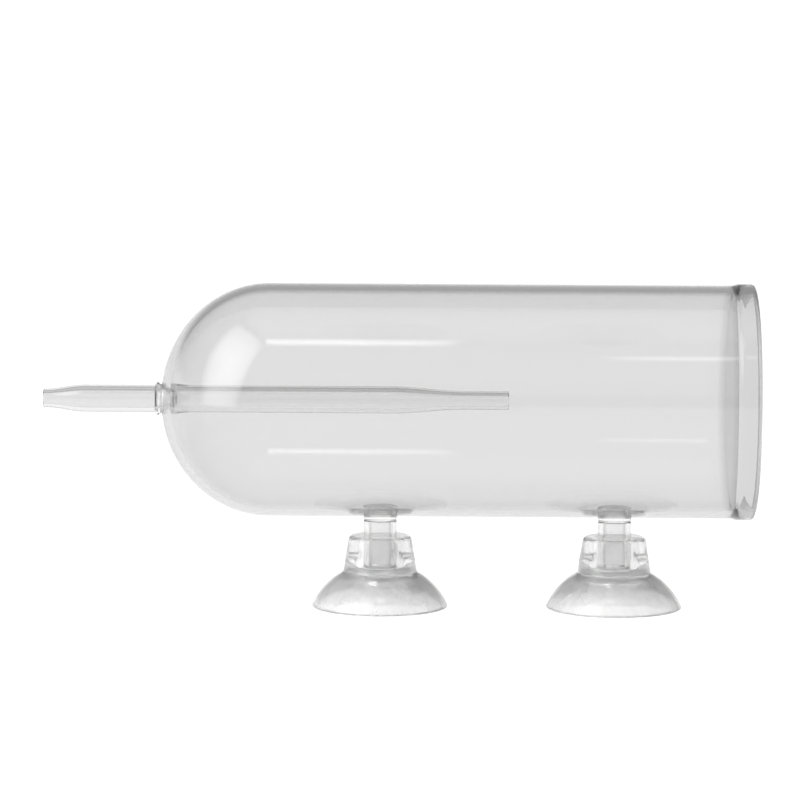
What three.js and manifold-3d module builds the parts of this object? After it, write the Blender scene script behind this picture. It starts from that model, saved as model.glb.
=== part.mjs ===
// Passive carbon dioxide diffuser for an aquarium, in millimetres, +Z up.
//
// A round-ended glass bell lies along X with its open mouth towards +X. A glass gas tube runs through
// the closed end and is joined to it there by a ring of glass. Two glass pegs stand out of the bell's
// side, a clear bush is pushed on each peg, and a soft suction cup sits on each bush. The origin is on
// the suction plane, under the middle of the overall length.
import * as THREE from 'three';
import { mergeVertices } from 'three/addons/utils/BufferGeometryUtils.js';
import Module from 'manifold-3d';

// ---- driving dimensions ----
const BELL_RADIUS = 30;
const BELL_WALL = 1.8;
const BELL_LENGTH = 152.6; // pole of the round end to the mouth
const DOME_LENGTH = 28; // the round end is a little flatter than a half sphere
const POLE_WALL = 2;
const AXIS_HEIGHT = 53.6; // bell axis above the suction plane

const TUBE_RADIUS = 3.5;
const TUBE_WALL = 1;
const TIP_RADIUS = 2.4; // the gas tube is drawn down to this at both ends
const TIP_WALL = 0.8;
const TUBE_OUTSIDE = 30.3; // hose end to the bell's pole
const TUBE_INSIDE = 89.5; // the bell's pole to the inner end

const PEG_SPACING = 60.5;
const POLE_TO_INLET_PEG = 56.6;
const PIN_RADIUS = 2.8;
const BUSH_RADIUS = 4.3;
const CUP_RADIUS = 17.5;
const CUP_HEIGHT = 18.4; // suction plane to the top of the collar

const RUN_GAP = 0.15; // radial room between pieces that turn or slide on each other
const FUSED_GAP = 0.1; // room left between pieces of glass that are fused
const SADDLE_GAP = 0.3; // the same between a peg's foot and the curved bell

// ---- places worked out from them ----
const MOUTH_X = (TUBE_OUTSIDE + BELL_LENGTH) / 2;
const POLE_X = MOUTH_X - BELL_LENGTH;
const HOSE_END_X = POLE_X - TUBE_OUTSIDE;
const INLET_PEG_X = POLE_X + POLE_TO_INLET_PEG;
const MOUTH_PEG_X = INLET_PEG_X + PEG_SPACING;
const BELL_BOTTOM = AXIS_HEIGHT - BELL_RADIUS;

const BELL_SIDES = 48;
const CUP_SIDES = 40;
const SMALL_SIDES = 24;

const wasm = await Module();
wasm.setup();

// A closed three.js geometry as a manifold-3d solid.
function solidOf(geometry) {
  const bare = geometry.clone();
  bare.deleteAttribute('normal');
  bare.deleteAttribute('uv');
  const merged = mergeVertices(bare, 1e-4);
  return new wasm.Manifold(new wasm.Mesh({
    numProp: 3,
    vertProperties: merged.getAttribute('position').array,
    triVerts: new Uint32Array(merged.index.array),
  }));
}

// A manifold-3d solid back as a three.js geometry.
function geometryOf(solid) {
  const mesh = solid.getMesh();
  const geometry = new THREE.BufferGeometry();
  geometry.setAttribute('position', new THREE.BufferAttribute(new Float32Array(mesh.vertProperties), 3));
  geometry.setIndex(new THREE.BufferAttribute(new Uint32Array(mesh.triVerts), 1));
  geometry.computeVertexNormals();
  return geometry;
}

// A path's points, with the first one repeated exactly at the end, for a profile that closes on itself.
function closedProfile(path, divisions) {
  const points = path.getPoints(divisions);
  const first = points[0];
  if (points[points.length - 1].distanceTo(first) < 1e-6) points.pop();
  return [...points, first.clone()];
}

// A profile of (radius, distance) points turned about the Z axis.
const turnedAboutZ = (points, sides) => new THREE.LatheGeometry(points, sides).rotateX(Math.PI / 2);

// A profile of (radius, distance) points turned about the X axis.
const turnedAboutX = (points, sides) => new THREE.LatheGeometry(points, sides).rotateZ(-Math.PI / 2);

// ---- glass bell: straight wall, round end with a hole for the ring seal, thickened lip ----
const SEAL_RADIUS = 5.2;
const LIP_WIDTH = 6;
const LIP_RISE = 0.4; // how much thicker the lip is on each side of the wall
const LIP_EDGE = 0.9; // rounding of the mouth's edges
const INNER_RADIUS = BELL_RADIUS - BELL_WALL;
const INNER_DOME = DOME_LENGTH - POLE_WALL;

// How far from the pole a half ellipse of this radius and length, ending where the dome ends, has radius r.
const domeDistance = (r, radius, length) => DOME_LENGTH - length * Math.sqrt(1 - (r / radius) ** 2);

function bellGeometry() {
  const lipStart = BELL_LENGTH - LIP_WIDTH;
  const lipFull = lipStart + 3 * LIP_RISE;
  const lipOuter = BELL_RADIUS + LIP_RISE;
  const lipInner = INNER_RADIUS - LIP_RISE;
  const outerStart = -Math.acos(SEAL_RADIUS / BELL_RADIUS);
  const innerEnd = -Math.acos(SEAL_RADIUS / INNER_RADIUS);
  const path = new THREE.Path();
  path.moveTo(SEAL_RADIUS, domeDistance(SEAL_RADIUS, BELL_RADIUS, DOME_LENGTH));
  path.absellipse(0, DOME_LENGTH, BELL_RADIUS, DOME_LENGTH, outerStart, 0, false);
  path.lineTo(BELL_RADIUS, lipStart);
  path.quadraticCurveTo(lipOuter, lipStart, lipOuter, lipFull);
  path.lineTo(lipOuter, BELL_LENGTH - LIP_EDGE);
  path.quadraticCurveTo(lipOuter, BELL_LENGTH, lipOuter - LIP_EDGE, BELL_LENGTH);
  path.lineTo(lipInner + LIP_EDGE, BELL_LENGTH);
  path.quadraticCurveTo(lipInner, BELL_LENGTH, lipInner, BELL_LENGTH - LIP_EDGE);
  path.lineTo(lipInner, lipFull);
  path.quadraticCurveTo(lipInner, lipStart, INNER_RADIUS, lipStart);
  path.lineTo(INNER_RADIUS, DOME_LENGTH);
  path.absellipse(0, DOME_LENGTH, INNER_RADIUS, INNER_DOME, 0, innerEnd, true);
  return turnedAboutX(closedProfile(path, 4), BELL_SIDES);
}

// ---- gas tube: straight, with both ends drawn down to a narrow tip ----
const TUBE_LENGTH = TUBE_OUTSIDE + TUBE_INSIDE;
const TIP_EDGE = 0.3;
const HOSE_TAPER = [1, 10.7]; // distances from the hose end
const INNER_TAPER = [90, 108];

// The wall's radius at a distance from the hose end, between its size at the tips and its full size.
function wallRadius(distance, tip, full) {
  const fromHose = THREE.MathUtils.smoothstep(distance, ...HOSE_TAPER);
  const fromInner = 1 - THREE.MathUtils.smoothstep(distance, ...INNER_TAPER);
  return tip + (full - tip) * Math.min(fromHose, fromInner);
}

// Evenly spaced distances over a stretch, both ends included.
function spread([from, to], steps) {
  return Array.from({ length: steps + 1 }, (_, step) => from + ((to - from) * step) / steps);
}

function gasTubeGeometry() {
  const stations = [...spread(HOSE_TAPER, 6), ...spread(INNER_TAPER, 8)];
  const tipBore = TIP_RADIUS - TIP_WALL;
  const outside = stations.map((x) => new THREE.Vector2(wallRadius(x, TIP_RADIUS, TUBE_RADIUS), x));
  const bore = stations.map((x) => new THREE.Vector2(wallRadius(x, tipBore, TUBE_RADIUS - TUBE_WALL), x));
  const profile = [
    new THREE.Vector2(tipBore, 0),
    new THREE.Vector2(TIP_RADIUS - TIP_EDGE, 0),
    new THREE.Vector2(TIP_RADIUS, TIP_EDGE),
    ...outside,
    new THREE.Vector2(TIP_RADIUS, TUBE_LENGTH - TIP_EDGE),
    new THREE.Vector2(TIP_RADIUS - TIP_EDGE, TUBE_LENGTH),
    new THREE.Vector2(tipBore, TUBE_LENGTH),
    ...bore.reverse(),
    new THREE.Vector2(tipBore, 0),
  ];
  return turnedAboutX(profile, SMALL_SIDES);
}

// ---- ring seal: the glass between the tube and the hole in the round end, with a bead outside ----
const BEAD_RADIUS = 4.4;
const BEAD_OUT = 1.4; // how far the bead stands out of the pole
const GATHER = 4; // how far the glass runs in along the tube

function ringSealGeometry() {
  const inside = TUBE_RADIUS + FUSED_GAP;
  const outside = SEAL_RADIUS - FUSED_GAP;
  const path = new THREE.Path();
  path.moveTo(inside, -BEAD_OUT);
  path.quadraticCurveTo(BEAD_RADIUS, -BEAD_OUT, BEAD_RADIUS, -BEAD_OUT / 2);
  path.quadraticCurveTo(BEAD_RADIUS, 0, outside, domeDistance(outside, BELL_RADIUS, DOME_LENGTH));
  path.lineTo(outside, domeDistance(outside, INNER_RADIUS, INNER_DOME));
  path.quadraticCurveTo(BEAD_RADIUS, GATHER / 2, inside, GATHER);
  return turnedAboutX(closedProfile(path, 4), SMALL_SIDES);
}

// ---- glass peg: a foot flared on to the bell, a shoulder and a pin ----
const SHOULDER_RADIUS = 4.25;
const SHOULDER_Z = BELL_BOTTOM - 1.1;
const PIN_END_Z = 10.2;
const PIN_EDGE = 0.8;
const FOOT_RADIUS = 5.4;
const FOOT_TOP_Z = BELL_BOTTOM + 1.2; // the blank's top, inside the bell before the saddle is cut

function pegGeometry() {
  const path = new THREE.Path();
  path.moveTo(0, PIN_END_Z);
  path.lineTo(PIN_RADIUS - PIN_EDGE, PIN_END_Z);
  path.quadraticCurveTo(PIN_RADIUS, PIN_END_Z, PIN_RADIUS, PIN_END_Z + PIN_EDGE);
  path.lineTo(PIN_RADIUS, SHOULDER_Z);
  path.lineTo(SHOULDER_RADIUS, SHOULDER_Z);
  path.quadraticCurveTo(SHOULDER_RADIUS, BELL_BOTTOM, FOOT_RADIUS, FOOT_TOP_Z);
  path.lineTo(0, FOOT_TOP_Z);
  const blank = solidOf(turnedAboutZ(path.getPoints(4), SMALL_SIDES));
  const saddleRadius = BELL_RADIUS + SADDLE_GAP;
  const saddle = new THREE.CylinderGeometry(saddleRadius, saddleRadius, 4 * FOOT_RADIUS, 4 * BELL_SIDES);
  saddle.rotateZ(Math.PI / 2).translate(0, 0, AXIS_HEIGHT);
  return geometryOf(blank.subtract(solidOf(saddle)));
}

// ---- clear bush between a peg and its cup ----
const BUSH_TOP_Z = SHOULDER_Z - FUSED_GAP;
const BUSH_END_Z = 10.2;
const BUSH_EDGE = 0.4;

function bushGeometry() {
  const bore = PIN_RADIUS + RUN_GAP;
  const path = new THREE.Path();
  path.moveTo(bore, BUSH_END_Z);
  path.lineTo(BUSH_RADIUS - BUSH_EDGE, BUSH_END_Z);
  path.quadraticCurveTo(BUSH_RADIUS, BUSH_END_Z, BUSH_RADIUS, BUSH_END_Z + BUSH_EDGE);
  path.lineTo(BUSH_RADIUS, BUSH_TOP_Z - BUSH_EDGE);
  path.quadraticCurveTo(BUSH_RADIUS, BUSH_TOP_Z, BUSH_RADIUS - BUSH_EDGE, BUSH_TOP_Z);
  path.lineTo(bore, BUSH_TOP_Z);
  return turnedAboutZ(closedProfile(path, 2), SMALL_SIDES);
}

// ---- suction cup: a collar with a socket and a cross hole, on a soft dome with a hollow under it ----
const COLLAR_TOP_RADIUS = 8.2;
const COLLAR_TOP_EDGE = 1.1;
const COLLAR_FOOT_RADIUS = 9.5;
const COLLAR_FOOT_Z = 9;
const SOCKET_FLOOR_Z = 9.9;
const HOLLOW_DEPTH = 6.9;
const HOLLOW_ROOF_RADIUS = 4.6;
const RIM_THICKNESS = 0.5;
const LAND_WIDTH = 0.9; // the flat ring that meets the pane
const CROSS_HOLE_RADIUS = 1;
const CROSS_HOLE_Z = 12.8;

function cupGeometry() {
  const socket = BUSH_RADIUS + RUN_GAP;
  const path = new THREE.Path();
  path.moveTo(0, HOLLOW_DEPTH);
  path.lineTo(HOLLOW_ROOF_RADIUS, HOLLOW_DEPTH);
  path.bezierCurveTo(9.6, HOLLOW_DEPTH, 14.4, 4.4, CUP_RADIUS - LAND_WIDTH, 0);
  path.lineTo(CUP_RADIUS, 0);
  path.lineTo(CUP_RADIUS, RIM_THICKNESS);
  path.bezierCurveTo(15.9, 3.9, 12.9, 7.2, COLLAR_FOOT_RADIUS, COLLAR_FOOT_Z);
  path.lineTo(COLLAR_TOP_RADIUS, CUP_HEIGHT - COLLAR_TOP_EDGE);
  path.quadraticCurveTo(COLLAR_TOP_RADIUS, CUP_HEIGHT, COLLAR_TOP_RADIUS - COLLAR_TOP_EDGE, CUP_HEIGHT);
  path.lineTo(socket, CUP_HEIGHT);
  path.lineTo(socket, SOCKET_FLOOR_Z);
  path.lineTo(0, SOCKET_FLOOR_Z);
  const blank = solidOf(turnedAboutZ(path.getPoints(5), CUP_SIDES));
  const drill = new THREE.CylinderGeometry(CROSS_HOLE_RADIUS, CROSS_HOLE_RADIUS, 3 * COLLAR_FOOT_RADIUS, 10);
  drill.rotateZ(Math.PI / 2).translate(0, 0, CROSS_HOLE_Z);
  return geometryOf(blank.subtract(solidOf(drill)));
}

// ---- materials ----
const clearGlass = () => new THREE.MeshStandardMaterial({
  color: 0xdfe3e4,
  roughness: 0.03,
  metalness: 0,
  transparent: true,
  opacity: 0.35,
});

const clearVinyl = () => new THREE.MeshStandardMaterial({
  color: 0xd2d4d4,
  roughness: 0.15,
  metalness: 0,
  transparent: true,
  opacity: 0.6,
});

// ---- assembly ----
function addPiece(parent, name, geometry, material, x, z) {
  const piece = new THREE.Mesh(geometry, material);
  piece.name = name;
  piece.position.set(x, 0, z);
  parent.add(piece);
}

const diffuser = new THREE.Group();
addPiece(diffuser, 'bell', bellGeometry(), clearGlass(), POLE_X, AXIS_HEIGHT);
addPiece(diffuser, 'gas_tube', gasTubeGeometry(), clearGlass(), HOSE_END_X, AXIS_HEIGHT);
addPiece(diffuser, 'ring_seal', ringSealGeometry(), clearGlass(), POLE_X, AXIS_HEIGHT);
for (const [place, x] of [['inlet', INLET_PEG_X], ['mouth', MOUTH_PEG_X]]) {
  addPiece(diffuser, `${place}_peg`, pegGeometry(), clearGlass(), x, 0);
  addPiece(diffuser, `${place}_bush`, bushGeometry(), clearVinyl(), x, 0);
  addPiece(diffuser, `${place}_suction_cup`, cupGeometry(), clearVinyl(), x, 0);
}

export default diffuser;
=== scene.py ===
"""The looks of a passive carbon dioxide diffuser: a glass bell with a gas tube, on two suction cups.

Laid out as an add-on with one button for each piece, and run as a script that presses them in order.
Every shape is a profile turned about an axis, worked out with numpy in metres in the frame of the part.
"""
import math

import bpy
import numpy as np
from mathutils import Matrix, Vector


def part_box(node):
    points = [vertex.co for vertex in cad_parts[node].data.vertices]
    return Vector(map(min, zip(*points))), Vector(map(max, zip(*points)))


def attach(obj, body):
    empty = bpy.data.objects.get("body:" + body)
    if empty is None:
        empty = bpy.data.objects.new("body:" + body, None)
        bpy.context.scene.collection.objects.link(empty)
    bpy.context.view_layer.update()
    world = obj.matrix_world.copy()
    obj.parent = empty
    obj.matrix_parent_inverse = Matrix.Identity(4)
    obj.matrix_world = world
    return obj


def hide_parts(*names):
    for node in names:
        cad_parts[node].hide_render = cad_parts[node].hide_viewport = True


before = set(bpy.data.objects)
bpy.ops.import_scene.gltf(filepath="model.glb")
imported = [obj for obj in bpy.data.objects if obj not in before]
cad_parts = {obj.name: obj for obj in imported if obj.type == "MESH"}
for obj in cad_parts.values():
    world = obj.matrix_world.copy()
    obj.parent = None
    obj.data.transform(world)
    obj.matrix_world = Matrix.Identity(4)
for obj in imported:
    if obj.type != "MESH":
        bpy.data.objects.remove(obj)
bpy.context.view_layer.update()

bl_info = {
    "name": "Bell diffuser",
    "version": (1, 0, 0),
    "blender": (4, 5, 0),
    "location": "View3D > Sidebar > Diffuser",
    "description": "Builds a glass bell diffuser with its gas tube and suction cups",
    "category": "Add Mesh",
}

MM = 0.001
PLACES = ("inlet", "mouth")


# ---- what the frame gives ----

def box_middle(node):
    """The middle of a CAD node's box."""
    low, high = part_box(node)
    return (low + high) / 2


TUBE_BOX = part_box("gas_tube")
BELL_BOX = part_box("bell")
AXIS_Z = box_middle("gas_tube").z
HOSE_END_X = TUBE_BOX[0].x
MOUTH_X = BELL_BOX[1].x
TUBE_RADIUS = (TUBE_BOX[1].z - TUBE_BOX[0].z) / 2
PEG_X = {place: box_middle(f"{place}_peg").x for place in PLACES}
PULL_OFF = 15 * MM  # how far down a cup slides off its peg, so the floor lies below that


def pole_x():
    """Where the bell's closed end is on X: the gas tube stands out of it by its outside length."""
    return HOSE_END_X + bpy.context.scene.diffuser_tube.outside_length


def bell_bottom_z(sizes):
    """Height of the bell's underside, which the pegs are fused on."""
    return BELL_BOX[0].z + sizes.lip_rise


# ---- profiles: rows of (radius, distance along the axis) ----

def straight(start, end, count=8):
    """Points start + (end - start) (1 - cos a) / 2, which crowd at both ends, for a from 0 to pi."""
    share = (1 - np.cos(np.linspace(0, math.pi, count))) / 2
    return np.array(start) + share[:, None] * (np.array(end) - np.array(start))


def bend(start, corner, end, count=7):
    """A curve from start to end that leaves and arrives along the lines through corner.

    It is (1 - t)^2 start + 2 t (1 - t) corner + t^2 end.
    """
    t = np.linspace(0, 1, count)[:, None]
    return (1 - t) ** 2 * np.array(start) + 2 * t * (1 - t) * np.array(corner) + t ** 2 * np.array(end)


def sweep(start, leave, arrive, end, count=24):
    """A curve from start to end, pulled towards leave and then towards arrive.

    It is s^3 start + 3 s^2 t leave + 3 s t^2 arrive + t^3 end, where s = 1 - t.
    """
    t = np.linspace(0, 1, count)[:, None]
    s = 1 - t
    return (s ** 3 * np.array(start) + 3 * s ** 2 * t * np.array(leave)
            + 3 * s * t ** 2 * np.array(arrive) + t ** 3 * np.array(end))


def profile(*stretches):
    """The stretches joined end to end, without the points that repeat."""
    points = np.vstack(stretches)
    step = np.linalg.norm(np.diff(points, axis=0), axis=1)
    return points[np.concatenate([[True], step > 1e-8])]


def smooth_step(x, start, end):
    """0 before start, 1 after end, and 3t^2 - 2t^3 between them."""
    t = np.clip((x - start) / (end - start), 0, 1)
    return t * t * (3 - 2 * t)


# ---- meshes ----

def turned_mesh(name, points, axis, origin, segments, closed):
    """A profile turned about an axis.

    A vertex is origin + distance * axis + radius * (cos a * u + sin a * v), for each profile point and
    each angle a. A closed profile joins its last ring to its first; an open one starts and ends on the
    axis, and each end is one vertex with a fan of triangles.
    """
    along = {"X": (1, 0, 0), "Z": (0, 0, 1)}[axis]
    u = {"X": (0, 1, 0), "Z": (1, 0, 0)}[axis]
    v = np.cross(along, u)
    angle = np.linspace(0, 2 * math.pi, segments, endpoint=False)
    around = np.cos(angle)[:, None] * np.array(u) + np.sin(angle)[:, None] * v
    if closed and np.linalg.norm(points[0] - points[-1]) < 1e-8:
        points = points[:-1]
    rings = points if closed else points[1:-1]
    grid = (np.array(origin) + rings[:, None, 1:2] * np.array(along)
            + rings[:, None, 0:1] * around[None, :, :])
    return mesh_of_rings(name, grid, closed, [
        np.array(origin) + points[i, 1] * np.array(along) for i in (0, -1)
    ])


def mesh_of_rings(name, grid, closed, poles):
    """Rings of vertices joined by quads: to the first ring again if closed, or to a pole at each end."""
    rings, segments = grid.shape[:2]
    index = np.arange(rings * segments).reshape(rings, segments)
    lower = index if closed else index[:-1]
    upper = np.roll(index, -1, axis=0) if closed else index[1:]
    quads = np.stack([lower, np.roll(lower, -1, 1), np.roll(upper, -1, 1), upper], axis=-1).reshape(-1, 4)
    vertices = grid.reshape(-1, 3)
    faces = quads.tolist()
    if not closed:
        first, last = len(vertices), len(vertices) + 1
        vertices = np.vstack([vertices, poles])
        start, end = index[0], index[-1]
        faces += np.stack([np.full(segments, first), np.roll(start, -1), start], axis=-1).tolist()
        faces += np.stack([np.full(segments, last), end, np.roll(end, -1)], axis=-1).tolist()
    mesh = bpy.data.meshes.new(name)
    mesh.from_pydata(vertices.tolist(), [], faces)
    if mesh.validate():
        raise RuntimeError(f"{name} has broken faces")
    mesh.shade_smooth()
    return mesh


def place_piece(name, mesh, material, body, node):
    """Shows a mesh as a piece that rides on a body and stands for a CAD node."""
    old = bpy.data.objects.get(name)
    if old is not None:
        bpy.data.objects.remove(old)
    piece = bpy.data.objects.new(name, mesh)
    mesh.materials.append(material)
    bpy.context.scene.collection.objects.link(piece)
    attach(piece, body)
    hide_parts(node)
    return piece


# ---- materials ----

GLASS_IOR = 1.47


def new_material(name):
    """A new node material. Returns (material, nodes, links, shader)."""
    material = bpy.data.materials.new(name)
    material.use_nodes = True
    nodes, links = material.node_tree.nodes, material.node_tree.links
    return material, nodes, links, nodes["Principled BSDF"]


def add_noise(nodes, links, scale, stretch, detail):
    """Noise on Object coordinates, drawn out along an axis by the three stretch factors."""
    place = nodes.new("ShaderNodeTexCoord")
    mapping = nodes.new("ShaderNodeMapping")
    mapping.inputs["Scale"].default_value = stretch
    noise = nodes.new("ShaderNodeTexNoise")
    noise.inputs["Scale"].default_value = scale
    noise.inputs["Detail"].default_value = detail
    links.new(place.outputs["Object"], mapping.inputs["Vector"])
    links.new(mapping.outputs["Vector"], noise.inputs["Vector"])
    return noise


def add_roughness(nodes, links, shader, noise, low, high):
    """Roughness that runs from low to high with the noise."""
    links.new(map_range(nodes, links, noise.outputs["Fac"], (0.35, 0.75), (low, high)),
              shader.inputs["Roughness"])


def add_bump(nodes, links, shader, noise, height, below=None):
    """Bump of that height in metres from the noise, over the bump below it if there is one."""
    bump = nodes.new("ShaderNodeBump")
    bump.inputs["Distance"].default_value = height
    bump.inputs["Strength"].default_value = 1
    links.new(noise.outputs["Fac"], bump.inputs["Height"])
    if below is not None:
        links.new(below.outputs["Normal"], bump.inputs["Normal"])
    links.new(bump.outputs["Normal"], shader.inputs["Normal"])
    return bump


def add_absorption(nodes, links, colour, density):
    """Glass that takes light away with depth, so that it is darker where it is seen edge on."""
    inside = nodes.new("ShaderNodeVolumeAbsorption")
    inside.inputs["Color"].default_value = (*colour, 1)
    inside.inputs["Density"].default_value = density
    links.new(inside.outputs["Volume"], nodes["Material Output"].inputs["Volume"])


def value_along(nodes, links, axis, places, values):
    """A value that runs from one to the other of two values between two places on the part's axis."""
    place = nodes.new("ShaderNodeTexCoord")
    split = nodes.new("ShaderNodeSeparateXYZ")
    links.new(place.outputs["Object"], split.inputs["Vector"])
    return map_range(nodes, links, split.outputs[axis], places, values)


def map_range(nodes, links, source, before, after):
    """The source's value, mapped from the range before to the range after and held at its ends."""
    spread = nodes.new("ShaderNodeMapRange")
    spread.inputs["From Min"].default_value, spread.inputs["From Max"].default_value = before
    spread.inputs["To Min"].default_value, spread.inputs["To Max"].default_value = after
    links.new(source, spread.inputs["Value"])
    return spread.outputs["Result"]


def tint_along(nodes, links, shader, stops):
    """Base colour that follows a ramp of (x in metres, grey) stops along the part's X axis."""
    start, end = stops[0][0], stops[-1][0]
    ramp = nodes.new("ShaderNodeValToRGB")
    links.new(value_along(nodes, links, "X", (start, end), (0, 1)), ramp.inputs["Fac"])
    links.new(ramp.outputs["Color"], shader.inputs["Base Color"])
    set_ramp(ramp, [((x - start) / (end - start), grey) for x, grey in stops])


def add_math(nodes, links, operation, *values):
    """A math node on values that are sockets or numbers. Returns its output."""
    node = nodes.new("ShaderNodeMath")
    node.operation = operation
    for socket, value in zip(node.inputs, values):
        if isinstance(value, bpy.types.NodeSocket):
            links.new(value, socket)
        else:
            socket.default_value = value
    return node.outputs[0]


def add_cloud(nodes, links, shader, scale, clarity, dull, heights):
    """Clarity of soft plastic that set in streaks.

    It runs over the (low, high) clarity with a noise, times a factor that rises from dull to 1 between
    two heights.
    """
    streaks = add_noise(nodes, links, scale, (1, 1, 0.5), 3).outputs["Fac"]
    rise = value_along(nodes, links, "Z", heights, (dull, 1))
    both = add_math(nodes, links, "MULTIPLY", rise, map_range(nodes, links, streaks, (0.35, 0.65), clarity))
    links.new(both, shader.inputs["Transmission Weight"])


def paint_edge_shade(nodes, links, shader, clear, edge, blend=0.25, heights=None):
    """Painted shade: base colour that goes from clear, seen square on, to the darker edge grey where the
    surface turns away, drawn in place of the dark outlines that refraction gives.

    A higher blend makes the edges wider. If two heights are given, the edges fade out between them and
    the part above stays clear.
    """
    turn = nodes.new("ShaderNodeLayerWeight")
    turn.inputs["Blend"].default_value = blend
    share = turn.outputs["Facing"]
    if heights is not None:
        share = add_math(nodes, links, "MULTIPLY", share, value_along(nodes, links, "Z", heights, (1, 0)))
    ramp = nodes.new("ShaderNodeValToRGB")
    links.new(share, ramp.inputs["Fac"])
    links.new(ramp.outputs["Color"], shader.inputs["Base Color"])
    set_ramp(ramp, [(0.25, clear), (0.9, edge)])


def set_ramp(node, stops):
    """Gives a colour ramp its (position, grey) stops."""
    elements = node.color_ramp.elements
    while len(elements) < len(stops):
        elements.new(0.5)
    for element, (position, grey) in zip(elements, stops):
        element.position = position
        element.color = (grey, grey, grey, 1)


def clear_material(name, colour, clarity, ior, rough, wave, grain):
    """A clear material that bends light. Returns (material, nodes, links, shader).

    colour is what one face lets through, clarity is 1 for glass and less for cloudy plastic, rough is
    the (low, high) roughness of its faint smears, wave is (scale, stretch, height) of its slow ripple
    and grain is (scale, height) of its fine skin.
    """
    material, nodes, links, shader = new_material(name)
    shader.inputs["Base Color"].default_value = (*colour, 1)
    shader.inputs["Transmission Weight"].default_value = clarity
    shader.inputs["IOR"].default_value = ior
    smears = add_noise(nodes, links, 60, (1, 1, 1), 4)
    add_roughness(nodes, links, shader, smears, *rough)
    slow = add_bump(nodes, links, shader, add_noise(nodes, links, wave[0], wave[1], 1), wave[2])
    add_bump(nodes, links, shader, add_noise(nodes, links, grain[0], (1, 1, 1), 2), grain[1], slow)
    return material, nodes, links, shader


# ---- the properties that a user would change ----

def length_property(name, description, default):
    """A length in metres, shown in the scene's units."""
    return bpy.props.FloatProperty(
        name=name, description=description, default=default, unit="LENGTH", subtype="DISTANCE", precision=5)


def colour_property(name, description, default):
    """A colour picker with three channels."""
    return bpy.props.FloatVectorProperty(
        name=name, description=description, default=default, size=3, min=0, max=1, subtype="COLOR")


class BellSizes(bpy.types.PropertyGroup):
    """Sizes of the glass bell and of what is fused on it."""

    lip_rise: length_property("Lip rise", "How far the lip stands out of the wall", 0.4 * MM)
    lip_width: length_property("Lip width", "Length of the thickened lip", 6.0 * MM)
    wall: length_property("Wall", "Thickness of the bell's wall", 1.8 * MM)
    pole_wall: length_property("Pole wall", "Thickness of the wall at the closed end", 2.0 * MM)
    dome_length: length_property("Dome length", "Length of the round end", 28.0 * MM)
    foot_radius: length_property("Foot radius", "Radius of a peg's foot on the bell", 4.5 * MM)
    pin_radius: length_property("Pin radius", "Radius of a peg's pin", 2.8 * MM)


class TubeSizes(bpy.types.PropertyGroup):
    """Sizes of the gas tube and of the ring that seals it."""

    outside_length: length_property("Outside length", "Hose end to the bell's pole", 30.3 * MM)
    wall: length_property("Wall", "Thickness of the tube's wall", 1.0 * MM)
    tip_radius: length_property("Tip radius", "Radius of both tips", 2.4 * MM)
    tip_wall: length_property("Tip wall", "Thickness of the wall at both tips", 0.8 * MM)
    hose_taper: length_property("Hose taper", "Length of the taper at the hose end", 10.7 * MM)
    inner_taper: length_property("Inner taper", "Length of the taper at the inner end", 18.0 * MM)
    inner_tip: length_property("Inner tip", "Length of the narrow tip inside the bell", 11.8 * MM)
    bead_radius: length_property("Bead radius", "Radius of the bead outside the pole", 4.3 * MM)


class CupSizes(bpy.types.PropertyGroup):
    """Sizes of the suction cups."""

    collar_top_radius: length_property("Collar top radius", "Radius of the collar's top", 8.2 * MM)
    collar_foot_radius: length_property("Collar foot radius", "Radius of the collar's foot", 9.5 * MM)
    collar_foot_z: length_property("Collar foot height", "Height of the collar's foot", 9.0 * MM)
    socket_radius: length_property("Socket radius", "Radius of the socket", 4.45 * MM)
    socket_floor_z: length_property("Socket floor height", "Height of the socket's floor", 9.9 * MM)
    hollow_depth: length_property("Hollow depth", "Height of the hollow's roof", 6.9 * MM)
    rim: length_property("Rim thickness", "Thickness of the rim", 0.5 * MM)
    hole_radius: length_property("Hole radius", "Radius of the hole across the collar", 1.0 * MM)
    hole_z: length_property("Hole height", "Height of the hole across the collar", 12.8 * MM)


class Colours(bpy.types.PropertyGroup):
    """Colours of the clear materials and of the stage."""

    glass: colour_property("Glass", "What a face of the bell's wall lets through", (0.915, 0.915, 0.915))
    # The lip's grey is painted shade: it draws the thick lip darker than the wall.
    lip: colour_property("Lip", "What a face of the thickened lip lets through", (0.70, 0.70, 0.70))
    thin_glass: colour_property("Thin glass", "What a face of thin glass lets through", (0.99, 0.99, 0.99))
    # The hose end's grey is painted shade: the tube is drawn greyer outside the bell.
    hose_end_shade: colour_property("Hose end", "What the tube lets through outside the bell", (0.86, 0.86, 0.86))
    vinyl: colour_property("Vinyl", "What a face of the soft plastic lets through", (0.99, 0.99, 0.99))
    floor: colour_property("Floor", "The pale floor", (0.15, 0.15, 0.15))
    deep_glass: colour_property("Deep glass", "Colour that glass takes on with depth", (0.9, 0.9, 0.9))
    depth: bpy.props.FloatProperty(
        name="Depth", description="How densely glass takes light away, per metre", default=500, min=0)


# ---- the bell ----

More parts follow.
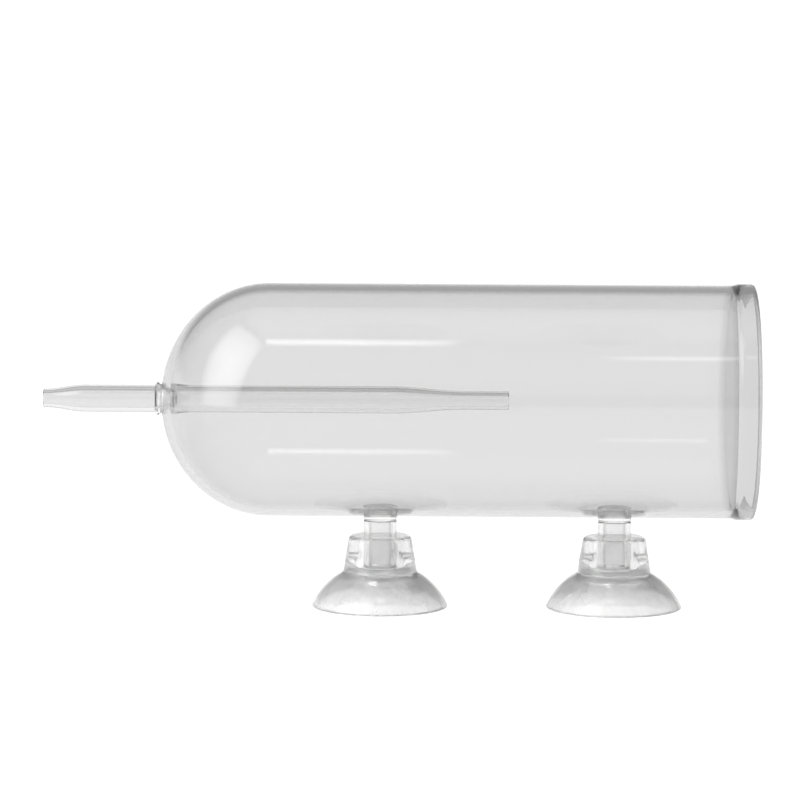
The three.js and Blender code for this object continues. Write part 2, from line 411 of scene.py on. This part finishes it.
def bell_profile(sizes):
    """The bell's wall, from the hole at the pole, over the outside to the mouth and back inside.

    The round end is a half ellipse outside and a smaller one inside; the lip is a wall thickened on
    both sides with a rounded end.
    """
    outer = (BELL_BOX[1].z - BELL_BOX[0].z) / 2 - sizes.lip_rise
    inner = outer - sizes.wall
    hole = seal_radius()
    dome = sizes.dome_length
    outer_dome, inner_dome = (outer, dome, dome), (inner, dome, dome - sizes.pole_wall)
    length = MOUTH_X - pole_x()
    lip = length - sizes.lip_width
    lip_full = lip + 2.1 * MM
    high, low = outer + sizes.lip_rise, inner - 0.5 * sizes.lip_rise
    middle, tip = (high + low) / 2, length - 1.3 * MM
    inner_lip = tip - 6 * MM
    return profile(
        half_ellipse(hole, *outer_dome),
        straight((outer, dome), (outer, lip), 60),
        sweep((outer, lip), (outer, lip + 0.8 * MM), (high, lip + 0.9 * MM), (high, lip_full), 16),
        straight((high, lip_full), (high, tip), 6),
        bend((high, tip), (high, length), (middle, length), 14),
        bend((middle, length), (low, length), (low, tip), 14),
        sweep((low, tip), (low, tip - 2 * MM), (inner, tip - 3 * MM), (inner, inner_lip), 24),
        straight((inner, inner_lip), (inner, dome), 60),
        half_ellipse(hole, *inner_dome)[::-1],
        straight((hole, pole_depth(hole, *inner_dome)), (hole, pole_depth(hole, *outer_dome)), 4),
    )


def pole_depth(radius, widest, middle, length):
    """Distance from the pole at which the half ellipse round middle, of that length, has this radius."""
    return middle - length * math.sqrt(1 - (radius / widest) ** 2)


def half_ellipse(radius, widest, middle, length, count=72):
    """Points of a half ellipse from where it has the given radius to where it is widest.

    A point is (widest sin a, middle - length cos a), for the angle a from the pole.
    """
    angle = np.linspace(math.asin(radius / widest), math.pi / 2, count)
    return np.column_stack([widest * np.sin(angle), middle - length * np.cos(angle)])


def seal_radius():
    """Radius of the hole at the pole: the gas tube's, and the thin neck of the ring seal round it."""
    return TUBE_RADIUS + 0.3 * MM


class DIFFUSER_OT_bell(bpy.types.Operator):
    """Build the glass bell"""

    bl_idname = "diffuser.bell"
    bl_label = "Bell"

    def execute(self, context):
        mesh = turned_mesh("bell_glass", bell_profile(context.scene.diffuser_bell), "X",
                           (pole_x(), 0, AXIS_Z), 192, True)
        place_piece("bell_glass", mesh, bell_material(context), "glass", "bell")
        return {"FINISHED"}


def bell_material(context):
    """Blown borosilicate glass: a slow ripple from drawing, and a thickened lip with painted shade, a darker
    base colour there.
    """
    colours = context.scene.diffuser_colours
    material, nodes, links, shader = clear_material(
        "bell_glass", colours.glass, clarity=1, ior=GLASS_IOR, rough=(0.0, 0.012),
        wave=(35, (0.25, 1, 1), 0.00003), grain=(400, 0.0000003))
    # Painted shade: the base colour darkens from the wall's grey to the lip's darker grey over the thick lip.
    clear, lip = colours.glass[0], colours.lip[0]
    start = MOUTH_X - context.scene.diffuser_bell.lip_width
    tint_along(nodes, links, shader, [
        (start - 1.5 * MM, clear), (start + 0.5 * MM, lip), (MOUTH_X, lip)])
    add_absorption(nodes, links, colours.deep_glass, colours.depth)
    return material


# ---- the gas tube ----

def tube_wall(distance, length, tip, full, sizes):
    """Rows of radius and distance from the hose end, for a wall narrowed to tip at both ends.

    The radius is tip + (full - tip) * fill, where fill is a smooth step up after the hose end or a
    smooth step down before the inner tip, whichever is less.
    """
    hose_start, inner_start = 1 * MM, length - sizes.inner_tip - sizes.inner_taper
    fill = np.minimum(smooth_step(distance, hose_start, sizes.hose_taper),
                      1 - smooth_step(distance, inner_start, inner_start + sizes.inner_taper))
    return np.column_stack([tip + (full - tip) * fill, distance])


def tube_profile(sizes):
    """The tube's wall: the outside from the hose end to the inner end, and the bore back, with round tips."""
    length = TUBE_BOX[1].x - HOSE_END_X
    tip, bore = sizes.tip_radius, sizes.tip_radius - sizes.tip_wall
    middle, edge = (tip + bore) / 2, 0.5 * MM
    distance = np.linspace(edge, length - edge, 180)
    return profile(
        bend((middle, 0), (tip, 0), (tip, edge)),
        tube_wall(distance, length, tip, TUBE_RADIUS, sizes),
        bend((tip, length - edge), (tip, length), (middle, length)),
        bend((middle, length), (bore, length), (bore, length - edge)),
        tube_wall(distance, length, bore, TUBE_RADIUS - sizes.wall, sizes)[::-1],
        bend((bore, edge), (bore, 0), (middle, 0)),
    )


class DIFFUSER_OT_gas_tube(bpy.types.Operator):
    """Build the gas tube"""

    bl_idname = "diffuser.gas_tube"
    bl_label = "Gas tube"

    def execute(self, context):
        colours = context.scene.diffuser_colours
        mesh = turned_mesh("gas_tube_glass", tube_profile(context.scene.diffuser_tube), "X",
                           (HOSE_END_X, 0, AXIS_Z), 96, True)
        material, nodes, links, shader = clear_material(
            "gas_tube_glass", colours.thin_glass, clarity=1, ior=GLASS_IOR, rough=(0.0, 0.01),
            wave=(60, (0.15, 1, 1), 0.00001), grain=(400, 0.0000002))
        # Painted shade: the tube's base colour is greyer outside the bell and fades to the thin glass's grey
        # inside it.
        outside = colours.hose_end_shade[0]
        tint_along(nodes, links, shader, [
            (HOSE_END_X, outside), (pole_x() - 2 * MM, outside), (pole_x() + 8 * MM, colours.thin_glass[0])])
        add_absorption(nodes, links, colours.deep_glass, 0.4 * colours.depth)
        place_piece("gas_tube_glass", mesh, material, "glass", "gas_tube")
        return {"FINISHED"}


# ---- the ring seal ----

def seal_profile(context):
    """The ring of glass round the tube: a bead outside, a thin neck in the hole, and a gather inside.

    Over its length, s from 0 to 1, the bead is neck + (bead radius - neck) sin(pi s), less a straight
    run that thins its outer end to bead_edge. The gather, r from 0 to 1, thins from the neck to
    gather_edge. On it are a swell of swell (1 - r)^1.5 and four waves of ripple sin^2(4 pi r) (1 - r).
    """
    bore, neck = TUBE_RADIUS + 0.04 * MM, seal_radius() - 0.05 * MM
    bead_start, bead_end, bead_edge = -1.5 * MM, -0.15 * MM, 0.12 * MM
    gather_start, gather_length = context.scene.diffuser_bell.pole_wall + 0.25 * MM, 4.2 * MM
    gather_edge, swell, ripple = 0.05 * MM, 0.3 * MM, 0.07 * MM
    s = np.linspace(0, 1, 40)
    bead = np.column_stack([
        neck + (context.scene.diffuser_tube.bead_radius - neck) * np.sin(math.pi * s)
        - (neck - bore - bead_edge) * (1 - s),
        bead_start + (bead_end - bead_start) * s])
    r = np.linspace(0, 1, 80)
    gather = np.column_stack([
        bore + gather_edge + (neck - bore - gather_edge) * (1 - r)
        + swell * (1 - r) ** 1.5 * smooth_step(r, 0, 0.2)
        + ripple * np.sin(4 * math.pi * r) ** 2 * (1 - r),
        gather_start + gather_length * r])
    return profile(bead, straight(bead[-1], gather[0], 5), gather,
                   straight((bore, gather[-1][1]), (bore, bead_start), 40))


class DIFFUSER_OT_ring_seal(bpy.types.Operator):
    """Build the ring seal between the tube and the bell"""

    bl_idname = "diffuser.ring_seal"
    bl_label = "Ring seal"

    def execute(self, context):
        mesh = turned_mesh("ring_seal_glass", seal_profile(context), "X", (pole_x(), 0, AXIS_Z), 96, True)
        material = clear_material(
            "ring_seal_glass", context.scene.diffuser_colours.thin_glass, clarity=1, ior=GLASS_IOR,
            rough=(0.0, 0.02), wave=(300, (1, 1, 1), 0.00004), grain=(900, 0.0000005))[0]
        place_piece("ring_seal_glass", mesh, material, "glass", "ring_seal")
        return {"FINISHED"}


# ---- the pegs ----

def peg_profile(place, sizes):
    """A peg from the end of its pin up to its foot, as a solid: both ends are on the axis."""
    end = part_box(f"{place}_peg")[0].z
    shoulder_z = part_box(f"{place}_bush")[1].z + 0.1 * MM
    top = bell_bottom_z(sizes) - 0.05 * MM
    pin, shoulder, foot = sizes.pin_radius, 4.25 * MM, sizes.foot_radius
    edge, corner = 0.8 * MM, 0.2 * MM
    return profile(
        straight((0, end), (pin - edge, end), 6),
        bend((pin - edge, end), (pin, end), (pin, end + edge), 8),
        straight((pin, end + edge), (pin, shoulder_z), 14),
        straight((pin, shoulder_z), (shoulder - corner, shoulder_z), 6),
        bend((shoulder - corner, shoulder_z), (shoulder, shoulder_z), (shoulder, shoulder_z + corner), 5),
        bend((shoulder, shoulder_z + corner), (shoulder + 0.05 * MM, top - corner), (foot, top), 14),
        straight((foot, top), (0, top), 16),
    )


def fit_to_bell(mesh, bottom, radius):
    """Lifts the foot's vertices on to the bell.

    A vertex above the shoulder rises by the height of a circle of that radius over its lowest point,
    radius - sqrt(radius^2 - y^2), times how far up the foot it is.
    """
    points = np.empty(len(mesh.vertices) * 3)
    mesh.vertices.foreach_get("co", points)
    points = points.reshape(-1, 3)
    share = smooth_step(points[:, 2], bottom - 1.0 * MM, bottom - 0.06 * MM)
    points[:, 2] += share * (radius - np.sqrt(radius ** 2 - points[:, 1] ** 2))
    mesh.vertices.foreach_set("co", points.ravel())
    mesh.update()


class DIFFUSER_OT_pegs(bpy.types.Operator):
    """Build the two glass pegs"""

    bl_idname = "diffuser.pegs"
    bl_label = "Pegs"

    def execute(self, context):
        sizes = context.scene.diffuser_bell
        bottom = bell_bottom_z(sizes)
        glass = context.scene.diffuser_colours.thin_glass
        material, nodes, links, shader = clear_material(
            "peg_glass", glass, clarity=1, ior=GLASS_IOR, rough=(0.0, 0.01),
            wave=(250, (1, 1, 1), 0.00003), grain=(900, 0.0000003))
        bush_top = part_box("inlet_bush")[1].z
        # Painted shade: the pins' edges turn a dark grey below the bush's top, in place of the dark outlines
        # that refraction gives.
        paint_edge_shade(nodes, links, shader, clear=glass[0], edge=0.35, blend=0.55,
                     heights=(bush_top - 0.5 * MM, bush_top))
        for place in PLACES:
            mesh = turned_mesh(f"{place}_peg_glass", peg_profile(place, sizes), "Z",
                               (PEG_X[place], 0, 0), 96, False)
            fit_to_bell(mesh, bottom, AXIS_Z - bottom)
            place_piece(f"{place}_peg_glass", mesh, material, "glass", f"{place}_peg")
        return {"FINISHED"}


# ---- the bushes ----

def bush_profile(place, sizes):
    """A bush's wall, from the foot of its bore out and up and back, with rounded outer edges."""
    low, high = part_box(f"{place}_bush")
    outer = (high.x - low.x) / 2
    bore = sizes.pin_radius + 0.12 * MM
    edge = 0.4 * MM
    return profile(
        straight((bore, low.z), (outer - edge, low.z), 5),
        bend((outer - edge, low.z), (outer, low.z), (outer, low.z + edge), 6),
        straight((outer, low.z + edge), (outer, high.z - edge), 16),
        bend((outer, high.z - edge), (outer, high.z), (outer - edge, high.z), 6),
        straight((outer - edge, high.z), (bore, high.z), 5),
        straight((bore, high.z), (bore, low.z), 16),
    )


class DIFFUSER_OT_bushes(bpy.types.Operator):
    """Build the two clear bushes"""

    bl_idname = "diffuser.bushes"
    bl_label = "Bushes"

    def execute(self, context):
        sizes = context.scene.diffuser_bell
        vinyl = context.scene.diffuser_colours.vinyl
        material, nodes, links, shader = clear_material(
            "bush_vinyl", vinyl, clarity=0.93, ior=1.42, rough=(0.03, 0.09),
            wave=(300, (1, 1, 1), 0.00002), grain=(1500, 0.000001))
        # Painted shade: the bushes' edges turn a darker grey where the surface turns away.
        paint_edge_shade(nodes, links, shader, clear=vinyl[0] - 0.05, edge=0.6)
        for place in PLACES:
            mesh = turned_mesh(f"{place}_bush_vinyl", bush_profile(place, sizes), "Z",
                               (PEG_X[place], 0, 0), 96, True)
            place_piece(f"{place}_bush_vinyl", mesh, material, f"{place}_bush", f"{place}_bush")
        return {"FINISHED"}


# ---- the suction cups ----

def cup_profile(place, sizes):
    """A cup from the roof of its hollow, round the rim, up over the dome and collar, and down its socket."""
    low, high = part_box(f"{place}_suction_cup")
    rim, height = (high.x - low.x) / 2, high.z
    top, foot, foot_z = sizes.collar_top_radius, sizes.collar_foot_radius, sizes.collar_foot_z
    roof, roof_edge, land = sizes.hollow_depth, 4.6 * MM, rim - 0.9 * MM
    rim_edge, rim_round = 0.15 * MM, 0.12 * MM
    rim_top = (rim - rim_round, sizes.rim + rim_edge)
    edge, socket, floor, mouth = 1.1 * MM, sizes.socket_radius, sizes.socket_floor_z, 0.3 * MM
    lean = (foot - top) / (height - edge - foot_z)
    dome_top = (foot + 0.5 * MM, foot_z - 0.35 * MM)
    collar_start = (foot - 0.4 * lean * MM, foot_z + 0.4 * MM)
    return profile(
        straight((0, roof), (roof_edge, roof), 8),
        sweep((roof_edge, roof), (9.6 * MM, roof), (14.4 * MM, 4.4 * MM), (land, 0), 36),
        straight((land, 0), (rim - rim_edge, 0), 5),
        bend((rim - rim_edge, 0), (rim, 0), (rim, rim_edge), 5),
        bend((rim, rim_edge), (rim, sizes.rim), rim_top, 5),
        sweep(rim_top, (15.9 * MM, 3.9 * MM), (12.9 * MM, 7.1 * MM), dome_top, 36),
        bend(dome_top, (foot, foot_z), collar_start, 8),
        straight(collar_start, (top, height - edge), 16),
        bend((top, height - edge), (top - 0.1 * MM, height - 0.1 * MM), (top - edge, height), 10),
        straight((top - edge, height), (socket + mouth, height), 8),
        bend((socket + mouth, height), (socket, height), (socket, height - mouth), 5),
        straight((socket, height - mouth), (socket, floor + mouth), 14),
        bend((socket, floor + mouth), (socket, floor), (socket - mouth, floor), 5),
        straight((socket - mouth, floor), (0, floor), 10),
    )


def drill_cross_hole(cup, radius, height, x):
    """Cuts a hole along X through the collar, by a Boolean with a many-sided rod that is then removed."""
    reach = 12 * MM
    rod_profile = profile(
        straight((0, -reach), (radius, -reach), 3),
        straight((radius, -reach), (radius, reach), 3),
        straight((radius, reach), (0, reach), 3),
    )
    rod = bpy.data.objects.new("drill", turned_mesh("drill", rod_profile, "X", (x, 0, height), 48, False))
    bpy.context.scene.collection.objects.link(rod)
    cut = cup.modifiers.new("cross_hole", "BOOLEAN")
    cut.object = rod
    cut.operation = "DIFFERENCE"
    cut.solver = "EXACT"
    bpy.context.view_layer.update()
    drilled = bpy.data.meshes.new_from_object(cup.evaluated_get(bpy.context.evaluated_depsgraph_get()))
    if not drilled.polygons:
        raise RuntimeError(f"the cross hole of {cup.name} can't be cut")
    cup.modifiers.clear()
    cup.data = drilled
    drilled.name = cup.name
    bpy.data.objects.remove(rod)


class DIFFUSER_OT_suction_cups(bpy.types.Operator):
    """Build the two suction cups"""

    bl_idname = "diffuser.suction_cups"
    bl_label = "Suction cups"

    def execute(self, context):
        sizes = context.scene.diffuser_cup
        vinyl = context.scene.diffuser_colours.vinyl
        material, nodes, links, shader = clear_material(
            "cup_vinyl", vinyl, clarity=0.9, ior=1.5, rough=(0.05, 0.2),
            wave=(260, (1, 1, 1), 0.00013), grain=(1500, 0.000002))
        # Painted shade: the cups' edges turn a slightly darker grey where the surface turns away.
        paint_edge_shade(nodes, links, shader, clear=vinyl[0] - 0.04, edge=0.92)
        add_cloud(nodes, links, shader, scale=200, clarity=(0.85, 0.98), dull=0.78,
                  heights=(sizes.collar_foot_z - 1.5 * MM, sizes.collar_foot_z + 0.5 * MM))
        for place in PLACES:
            mesh = turned_mesh(f"{place}_cup_vinyl", cup_profile(place, sizes), "Z",
                               (PEG_X[place], 0, 0), 128, False)
            cup = place_piece(f"{place}_cup_vinyl", mesh, material, f"{place}_cup",
                              f"{place}_suction_cup")
            drill_cross_hole(cup, sizes.hole_radius, sizes.hole_z, PEG_X[place])
        return {"FINISHED"}


# ---- the stage ----

SENSOR = 36  # width of the camera's sensor in millimetres
LAMPS = (  # name, width and height in metres, watts, azimuth and elevation in degrees, distance in metres
    ("left_softbox", (1.1, 1.8), 14, -58, 32, 1.2),
    ("front_strip", (0.13, 0.12), 0.14, -4.5, 65, 1.1),
    ("right_strip", (0.09, 0.08), 0.035, 11.5, 49, 1.1),
    ("top_softbox", (1.2, 1.2), 1.5, 0, 88, 1.6),
)


def add_lamp(target, name, size, power, azimuth, elevation, distance):
    """A soft rectangular lamp that faces target.

    azimuth is in degrees to the right of the front, seen from above, and elevation is in degrees.
    """
    lamp = bpy.data.lights.new(name, "AREA")
    lamp.shape = "RECTANGLE"
    lamp.size, lamp.size_y = size
    lamp.energy = power
    fade_to_rim(lamp)
    side, up = math.radians(azimuth), math.radians(elevation)
    away = Vector((math.sin(side) * math.cos(up), -math.cos(side) * math.cos(up), math.sin(up)))
    holder = bpy.data.objects.new(name, lamp)
    holder.location = target + distance * away
    holder.rotation_euler = away.to_track_quat("Z", "Y").to_euler()
    bpy.context.scene.collection.objects.link(holder)


def fade_to_rim(lamp):
    """Fades a lamp to its rim: strength is 1.5 * (sin(pi u) * sin(pi v)) ^ 0.4 over its face."""
    lamp.use_nodes = True
    nodes, links = lamp.node_tree.nodes, lamp.node_tree.links
    face = nodes.new("ShaderNodeNewGeometry")
    split = nodes.new("ShaderNodeSeparateXYZ")
    links.new(face.outputs["Parametric"], split.inputs["Vector"])
    waves = [
        add_math(nodes, links, "SINE", add_math(nodes, links, "MULTIPLY", split.outputs[axis], math.pi))
        for axis in "XY"
    ]
    flat = add_math(nodes, links, "POWER", add_math(nodes, links, "MULTIPLY", *waves), 0.4)
    links.new(add_math(nodes, links, "MULTIPLY", flat, 1.5), nodes["Emission"].inputs["Strength"])


def add_camera(target, distance, elevation, roll, width):
    """A long-lens camera in front of the target, whose frame is width across at the target."""
    data = bpy.data.cameras.new("camera")
    data.sensor_width = SENSOR
    data.lens = SENSOR * distance / width
    data.clip_end = 100
    camera = bpy.data.objects.new("camera", data)
    up = math.radians(elevation)
    camera.location = target + distance * Vector((0, -math.cos(up), math.sin(up)))
    facing = (target - camera.location).to_track_quat("-Z", "Y").to_matrix()
    camera.rotation_euler = (facing @ Matrix.Rotation(math.radians(roll), 3, "Z")).to_euler()
    bpy.context.scene.collection.objects.link(camera)
    bpy.context.scene.camera = camera


def floor_material(colour):
    """A pale painted floor with a faint mottle, which also gives a little light."""
    material, nodes, links, shader = new_material("floor_paint")
    shader.inputs["Base Color"].default_value = (*colour, 1)
    shader.inputs["Emission Color"].default_value = (1, 1, 1, 1)
    shader.inputs["Emission Strength"].default_value = 0.92
    add_roughness(nodes, links, shader, add_noise(nodes, links, 3, (1, 1, 1), 3), 0.75, 0.95)
    return material


def sky_material():
    """World light that is white near the horizon, dark in a band above it and pale overhead."""
    world = bpy.data.worlds.new("studio")
    bpy.context.scene.world = world
    world.use_nodes = True
    nodes, links = world.node_tree.nodes, world.node_tree.links
    place = nodes.new("ShaderNodeTexCoord")
    tilt = nodes.new("ShaderNodeMapping")
    tilt.inputs["Rotation"].default_value[0] = math.radians(-5)
    split = nodes.new("ShaderNodeSeparateXYZ")
    ramp = nodes.new("ShaderNodeValToRGB")
    links.new(place.outputs["Generated"], tilt.inputs["Vector"])
    links.new(tilt.outputs["Vector"], split.inputs["Vector"])
    links.new(split.outputs["Z"], ramp.inputs["Fac"])
    links.new(ramp.outputs["Color"], nodes["Background"].inputs["Color"])
    set_ramp(ramp, [(0.0, 1.0), (0.05, 1.0), (0.13, 0.5), (0.42, 0.5), (0.62, 0.7)])


def add_floor(colour):
    """A wide square floor under the place that a cup reaches when it is pulled off."""
    reach = 30
    mesh = bpy.data.meshes.new("floor")
    mesh.from_pydata([(-reach, -reach, 0), (reach, -reach, 0), (reach, reach, 0), (-reach, reach, 0)],
                     [], [(0, 1, 2, 3)])
    mesh.materials.append(floor_material(colour))
    floor = bpy.data.objects.new("floor", mesh)
    floor.location.z = -PULL_OFF - 1 * MM
    bpy.context.scene.collection.objects.link(floor)


class DIFFUSER_OT_stage(bpy.types.Operator):
    """Build the floor, the lamps and the camera"""

    bl_idname = "diffuser.stage"
    bl_label = "Stage"

    def execute(self, context):
        scene = context.scene
        add_floor(scene.diffuser_colours.floor)
        sky_material()
        middle = Vector((0.35 * MM, 0, AXIS_Z))
        for lamp in LAMPS:
            add_lamp(middle, *lamp)
        add_camera(middle, distance=1.170, elevation=6.7, roll=0.35, width=0.206)
        scene.view_settings.view_transform = "Standard"
        scene.cycles.max_bounces = 24
        scene.cycles.transmission_bounces = 24
        return {"FINISHED"}


class DIFFUSER_PT_panel(bpy.types.Panel):
    """The diffuser's buttons and sizes"""

    bl_idname = "DIFFUSER_PT_panel"
    bl_label = "Diffuser"
    bl_space_type = "VIEW_3D"
    bl_region_type = "UI"
    bl_category = "Diffuser"

    def draw(self, context):
        for operator in OPERATORS:
            self.layout.operator(operator.bl_idname)
        for name, group in GROUPS.items():
            box = self.layout.box()
            for key in group.__annotations__:
                box.prop(getattr(context.scene, name), key)


GROUPS = {
    "diffuser_bell": BellSizes,
    "diffuser_tube": TubeSizes,
    "diffuser_cup": CupSizes,
    "diffuser_colours": Colours,
}
OPERATORS = (DIFFUSER_OT_bell, DIFFUSER_OT_gas_tube, DIFFUSER_OT_ring_seal, DIFFUSER_OT_pegs,
             DIFFUSER_OT_bushes, DIFFUSER_OT_suction_cups, DIFFUSER_OT_stage)
CLASSES = (*GROUPS.values(), *OPERATORS, DIFFUSER_PT_panel)


def register():
    """Registers the classes and hangs each group of properties on the scene."""
    for cls in CLASSES:
        bpy.utils.register_class(cls)
    for name, group in GROUPS.items():
        setattr(bpy.types.Scene, name, bpy.props.PointerProperty(type=group))


def unregister():
    """Takes the properties and the classes away again."""
    for name in GROUPS:
        delattr(bpy.types.Scene, name)
    for cls in reversed(CLASSES):
        bpy.utils.unregister_class(cls)


def main():
    register()
    bpy.ops.diffuser.bell()
    bpy.ops.diffuser.gas_tube()
    bpy.ops.diffuser.ring_seal()
    bpy.ops.diffuser.pegs()
    bpy.ops.diffuser.bushes()
    bpy.ops.diffuser.suction_cups()
    bpy.ops.diffuser.stage()


if __name__ == "__main__":
    main()
